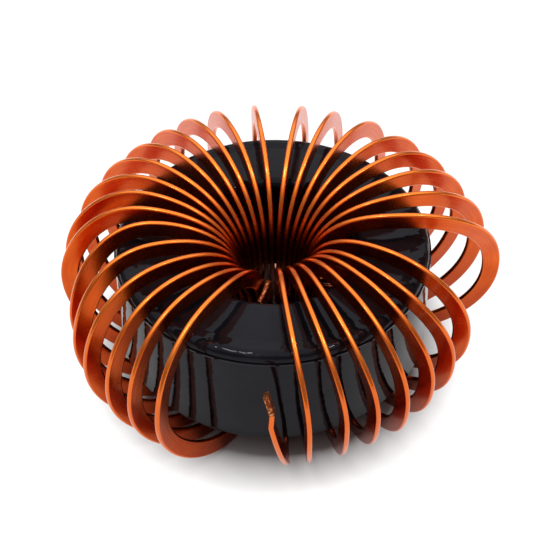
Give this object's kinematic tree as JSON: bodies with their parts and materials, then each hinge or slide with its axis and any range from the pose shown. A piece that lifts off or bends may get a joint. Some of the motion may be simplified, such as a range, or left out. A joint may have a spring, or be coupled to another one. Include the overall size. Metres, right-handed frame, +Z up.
{
  "type": "toroidal inductor",
  "caption": "Toroidal inductor: a coated powder ring core inside a loose winding of flat enamelled copper wire set on edge, with two short stripped ends.",
  "frame": {"origin": "on the axis of the ring, at the level that the turns stand on", "axes": "+Z up along the axis of the ring, -Y towards the side where both ends of the wire come out, +X to the right seen from that side"},
  "size_m": [0.0679, 0.0656, 0.0298],
  "materials": {
    "coated_powder_core": "glossy black epoxy coat over a pressed metal powder ring",
    "enamelled_copper": "glossy clear amber enamel over copper, bare matt copper at both ends"
  },
  "bodies": {
    "root": {"core": "coated_powder_core", "winding": "enamelled_copper"}
  },
  "joints": []
}
